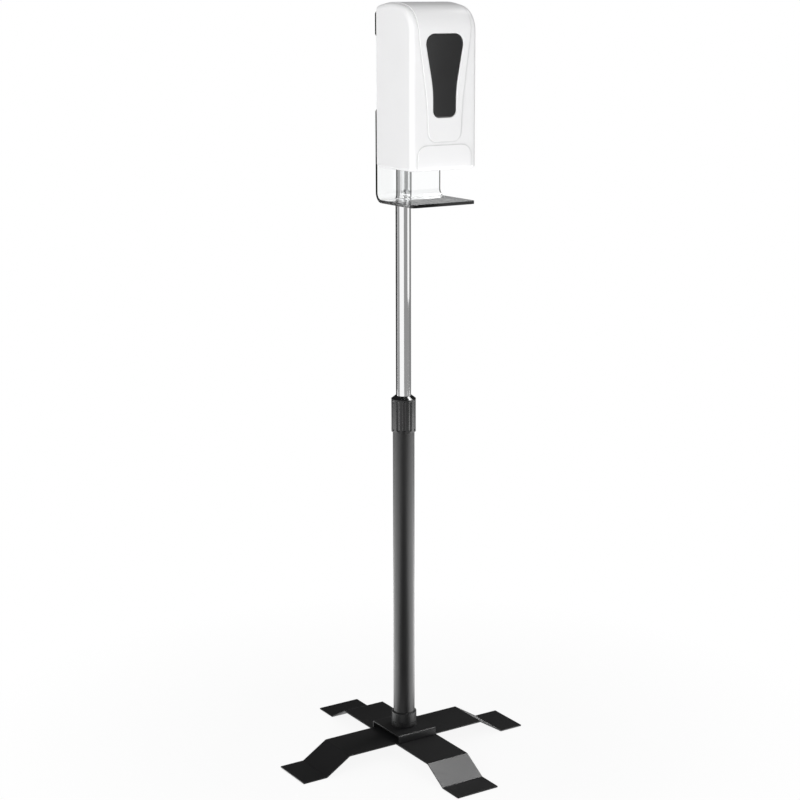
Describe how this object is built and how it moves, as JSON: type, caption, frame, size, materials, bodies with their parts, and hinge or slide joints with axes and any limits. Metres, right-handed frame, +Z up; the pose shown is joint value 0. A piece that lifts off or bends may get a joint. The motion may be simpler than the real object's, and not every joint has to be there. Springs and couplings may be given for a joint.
{
  "type": "hand sanitizer floor stand",
  "caption": "Floor stand with a folded cross foot, telescopic pole, bent clear drip tray and touch-free dispenser with a drop-down front cover.",
  "frame": {"origin": "on the floor at the pole's axis, the centre of the cross foot", "axes": "+Z up along the pole, -Y towards the user whom the dispenser faces, +X to the right seen from the front"},
  "size_m": [0.4408, 0.4408, 1.2475],
  "materials": {
    "black_steel": "powder coated, satin black",
    "chromed_tube": "polished chrome plating",
    "zinc_steel": "zinc plated",
    "spring_steel": "nickel plated strip",
    "pad_rubber": "matt",
    "seal_rubber": "soft, milky",
    "black_plastic": "moulded, satin",
    "nylon": "moulded, natural",
    "clear_acrylic": "clear, polished faces",
    "white_cover": "moulded, satin gloss",
    "smoked_plastic": "smoked, polished",
    "grey_plastic": "moulded, fine grain",
    "white_plastic": "moulded, fine grain",
    "dark_lens": "tinted, polished",
    "green_board": "coated laminate",
    "cell_jacket": "plain printed jacket",
    "bottle_plastic": "natural, translucent",
    "green_lens": "clear, tinted"
  },
  "bodies": {
    "base": {"lower_leg_strip": "black_steel", "upper_leg_strip": "black_steel", "foot_pad_left": "pad_rubber", "foot_pad_right": "pad_rubber", "foot_pad_front": "pad_rubber", "foot_pad_rear": "pad_rubber", "hub_bridge": "black_steel", "pole_socket": "black_steel", "hub_washer": "zinc_steel", "hub_bolt": "zinc_steel", "outer_tube": "black_steel", "collet": "nylon"},
    "collar": {"lock_collar": "black_plastic"},
    "bush": {"guide_bush": "nylon"},
    "pole": {"inner_pole": "chromed_tube", "pole_cap": "black_plastic", "pole_end_plug": "black_plastic", "stop_ring": "zinc_steel", "acrylic_tray": "clear_acrylic", "mount_screws": "zinc_steel", "saddle_washers": "black_plastic", "cap_nuts": "zinc_steel", "back_plate": "white_plastic", "hinge_pin_left": "zinc_steel", "hinge_pin_right": "zinc_steel", "module_case": "grey_plastic", "case_screws": "zinc_steel", "module_lid": "grey_plastic", "lid_screws": "zinc_steel", "battery_box": "black_plastic", "battery_1": "cell_jacket", "battery_2": "cell_jacket", "battery_3": "cell_jacket", "battery_4": "cell_jacket", "lower_contact": "spring_steel", "upper_contact": "spring_steel", "pump_head": "black_plastic", "pump_motor": "zinc_steel", "suction_pipe": "seal_rubber", "valve_seal": "seal_rubber", "nozzle": "white_plastic", "sensor_lens": "dark_lens", "circuit_board": "green_board", "switch_body": "black_plastic", "indicator_lens": "green_lens", "refill_bottle": "bottle_plastic"},
    "cover": {"front_cover": "white_cover", "smoked_window": "smoked_plastic"},
    "lock": {"lock_barrel": "zinc_steel", "lock_cam": "zinc_steel", "cam_screw": "zinc_steel"},
    "door": {"battery_door": "grey_plastic"},
    "knob": {"switch_knob": "black_plastic"},
    "cap": {"bottle_cap": "white_plastic"}
  },
  "joints": [
    {"name": "collar_turn", "type": "hinge", "parent": "base", "child": "collar", "pos_m": [0, 0, 0.604], "axis": [0, 0, 1], "range_deg": [0, 90]},
    {"name": "pole_slide", "type": "slide", "parent": "base", "child": "bush", "axis": [0, 0, 1], "range_m": [-0.3, 0.04]},
    {"name": "pole_turn", "type": "hinge", "parent": "bush", "child": "pole", "pos_m": [0, 0, 0.515], "axis": [0, 0, 1], "continuous": true},
    {"name": "cover_hinge", "type": "hinge", "parent": "pole", "child": "cover", "pos_m": [0, -0.0245, 1.0005], "axis": [1, 0, 0], "range_deg": [0, 33]},
    {"name": "lock_turn", "type": "hinge", "parent": "cover", "child": "lock", "pos_m": [0, -0.0376, 1.239], "axis": [0, 0, 1], "range_deg": [-90, 0]},
    {"name": "door_slide", "type": "slide", "parent": "pole", "child": "door", "axis": [1, 0, 0], "range_m": [0, 0.032]},
    {"name": "switch_slide", "type": "slide", "parent": "pole", "child": "knob", "axis": [1, 0, 0], "range_m": [0, 0.004]},
    {"name": "cap_turn", "type": "hinge", "parent": "pole", "child": "cap", "pos_m": [0, -0.0621, 1.216], "axis": [0, 0, 1], "range_deg": [0, 270]}
  ]
}
